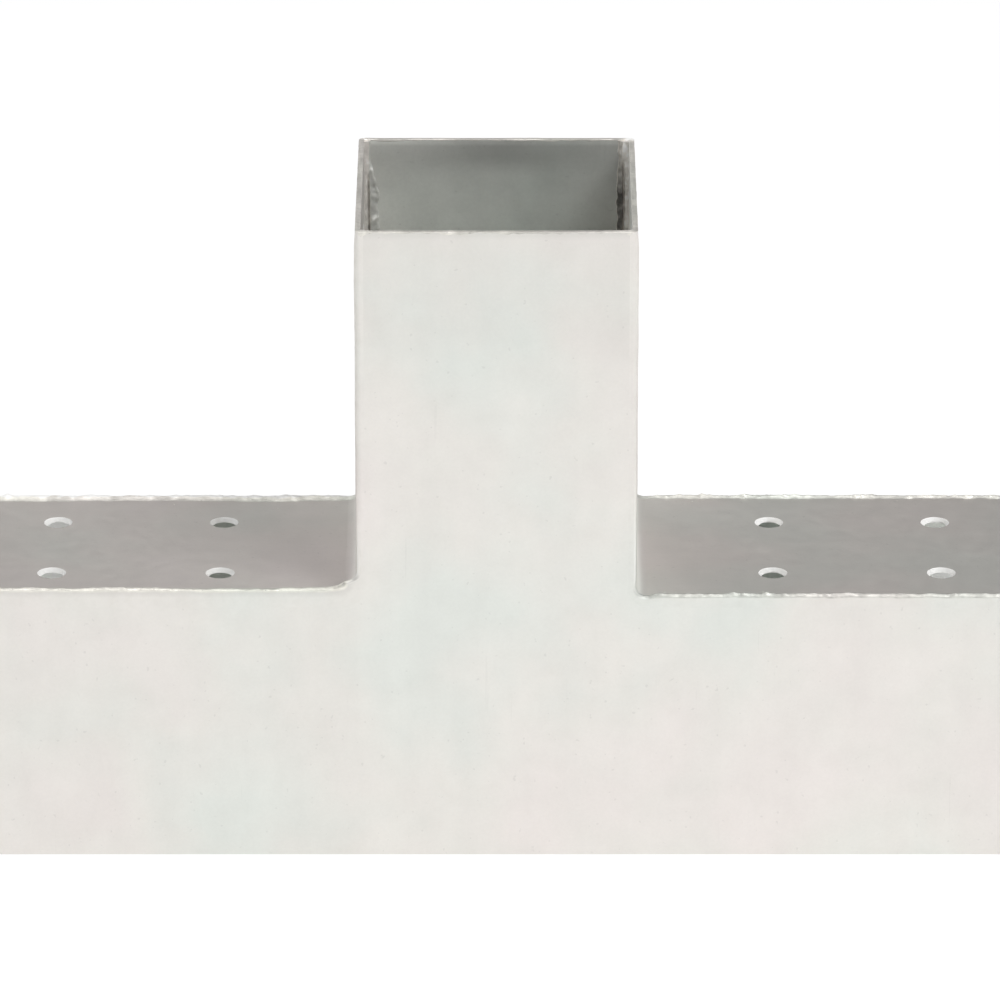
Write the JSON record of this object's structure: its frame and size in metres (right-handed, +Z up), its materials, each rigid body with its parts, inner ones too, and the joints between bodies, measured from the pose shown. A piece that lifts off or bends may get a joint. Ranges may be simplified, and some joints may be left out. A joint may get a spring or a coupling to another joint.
{
  "type": "t-shaped post connector",
  "caption": "T-shaped connector of welded galvanised sheet, with a level square sleeve to each side, an upright square sleeve between them and round bolt holes.",
  "frame": {"origin": "middle of the underside, under the middle of the upright sleeve", "axes": "+Z up along the upright sleeve, X along the two level sleeves, -Y towards the front"},
  "size_m": [0.4, 0.105, 0.2525],
  "materials": {
    "galvanised_sheet": "satin",
    "galvanised_bent_sheet": "satin",
    "galvanised_weld": "satin"
  },
  "bodies": {
    "root": {"front_plate": "galvanised_sheet", "rear_plate": "galvanised_sheet", "left_angle": "galvanised_bent_sheet", "right_angle": "galvanised_bent_sheet", "bottom_plate": "galvanised_sheet", "left_front_seam": "galvanised_weld", "right_front_seam": "galvanised_weld", "left_rear_seam": "galvanised_weld", "right_rear_seam": "galvanised_weld", "bottom_front_seam": "galvanised_weld", "bottom_rear_seam": "galvanised_weld", "left_front_fillet": "galvanised_weld", "right_front_fillet": "galvanised_weld", "left_rear_fillet": "galvanised_weld", "right_rear_fillet": "galvanised_weld"}
  },
  "joints": []
}
